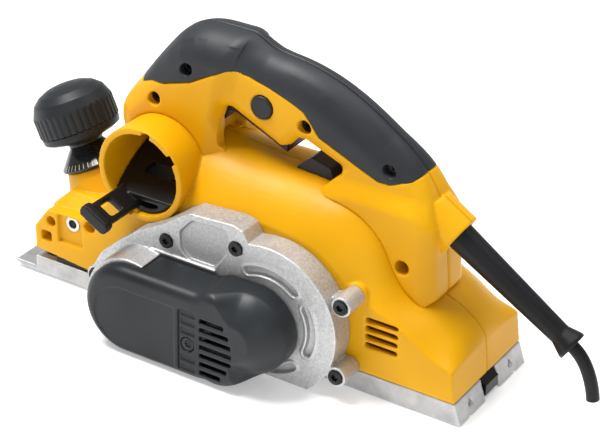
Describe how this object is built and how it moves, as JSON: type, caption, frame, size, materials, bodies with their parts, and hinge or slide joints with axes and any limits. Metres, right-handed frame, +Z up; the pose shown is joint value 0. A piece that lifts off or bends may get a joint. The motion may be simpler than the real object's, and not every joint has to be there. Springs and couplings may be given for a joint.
{
  "type": "electric hand planer",
  "caption": "Corded hand planer with closed handle, belt-driven cutter drum, tilted depth knob, through chip port and split metal sole.",
  "frame": {"origin": "on the rear sole, halfway across its width, 90 mm in front of its rear end", "axes": "+X the direction of travel, +Y towards the belt cover (the user's left), +Z up"},
  "size_m": [0.3918, 0.134, 0.1861],
  "materials": {
    "yellow_housing": "fine spark texture, satin",
    "charcoal_rubber": "soft overmould, matt",
    "charcoal_plastic": "fine texture, matt",
    "black_plastic": "moulded, satin",
    "black_rubber": "moulded, satin",
    "cast_aluminium": "die cast, tumbled",
    "milled_aluminium": "cast and milled sole",
    "ground_steel": "ground and polished",
    "blackened_steel": "black oxide",
    "zinc_steel": "zinc plated",
    "laminated_steel": "stacked sheet",
    "copper_wire": "enamelled copper",
    "brass": "turned",
    "carbon": "graphite block",
    "dial_black": "glossy with printed figures"
  },
  "bodies": {
    "machine": {"rear_shoe": "milled_aluminium", "side_plate": "cast_aluminium", "plate_screws": "blackened_steel", "belt_cover": "charcoal_plastic", "cover_screw": "blackened_steel", "housing_left": "yellow_housing", "housing_right": "yellow_housing", "handle_left": "yellow_housing", "handle_right": "yellow_housing", "grip_left": "charcoal_rubber", "grip_right": "charcoal_rubber", "handle_screws": "blackened_steel", "hand_pad": "charcoal_rubber", "power_switch": "black_plastic", "trigger_pin": "ground_steel", "stator_core": "laminated_steel", "field_coils": "copper_wire", "brush_holders": "brass", "carbon_brushes": "carbon", "brush_springs": "zinc_steel", "drum_bearing_left": "ground_steel", "drum_bearing_right": "ground_steel", "motor_bearing_left": "ground_steel", "motor_bearing_right": "ground_steel", "drive_belt": "black_rubber", "knob_spring": "zinc_steel", "foot_pin": "ground_steel", "cord_guard": "black_rubber", "mains_cord": "black_rubber", "fence_inserts": "zinc_steel", "seal_strips": "black_rubber"},
    "drum": {"cutter_drum": "cast_aluminium", "planer_blades": "ground_steel", "blade_clamps": "zinc_steel", "clamp_screws": "blackened_steel", "drum_pulley": "cast_aluminium"},
    "armature": {"armature_shaft": "ground_steel", "armature_core": "laminated_steel", "armature_windings": "copper_wire", "commutator": "copper_wire", "cooling_fan": "black_plastic", "motor_pulley": "ground_steel"},
    "front_sole": {"front_shoe": "milled_aluminium", "guide_pins": "ground_steel"},
    "depth_knob": {"knob_cap": "charcoal_plastic", "knob_body": "charcoal_plastic", "scale_skirt": "dial_black", "depth_screw": "zinc_steel"},
    "trigger": {"trigger": "black_plastic"},
    "lock_button": {"lock_button": "charcoal_plastic"},
    "chip_diverter": {"chip_diverter": "black_plastic"},
    "parking_foot": {"parking_foot": "black_plastic"}
  },
  "joints": [
    {"name": "drum_spin", "type": "hinge", "parent": "machine", "child": "drum", "pos_m": [0.112, 0, 0.0285], "axis": [0, 1, 0], "continuous": true},
    {"name": "armature_spin", "type": "hinge", "parent": "machine", "child": "armature", "pos_m": [0.031, 0, 0.038], "axis": [0, 1, 0], "continuous": true},
    {"name": "knob_turn", "type": "hinge", "parent": "machine", "child": "depth_knob", "pos_m": [0.1972, 0, 0.0667], "axis": [0.4195, 0, 0.9078], "range_deg": [-40.5, 160.5]},
    {"name": "shoe_slide", "type": "slide", "parent": "machine", "child": "front_sole", "axis": [0.4195, 0, 0.9078], "range_m": [-0.0022, 0.00055]},
    {"name": "trigger_pull", "type": "hinge", "parent": "machine", "child": "trigger", "pos_m": [0.052, 0, 0.132], "axis": [0, 1, 0], "range_deg": [-6, 0]},
    {"name": "lock_press", "type": "slide", "parent": "machine", "child": "lock_button", "axis": [0, 1, 0], "range_m": [-0.003, 0]},
    {"name": "diverter_slide", "type": "slide", "parent": "machine", "child": "chip_diverter", "axis": [0, 1, 0], "range_m": [-0.016, 0]},
    {"name": "foot_swing", "type": "hinge", "parent": "machine", "child": "parking_foot", "pos_m": [-0.066, 0, 0.008], "axis": [0, 1, 0], "range_deg": [-55, 0]}
  ],
  "couplings": [
    {"joint": "armature_spin", "follows": "drum_spin", "ratio": 1.4167},
    {"joint": "knob_turn", "follows": "shoe_slide", "rad_per_m": -1269.3}
  ]
}
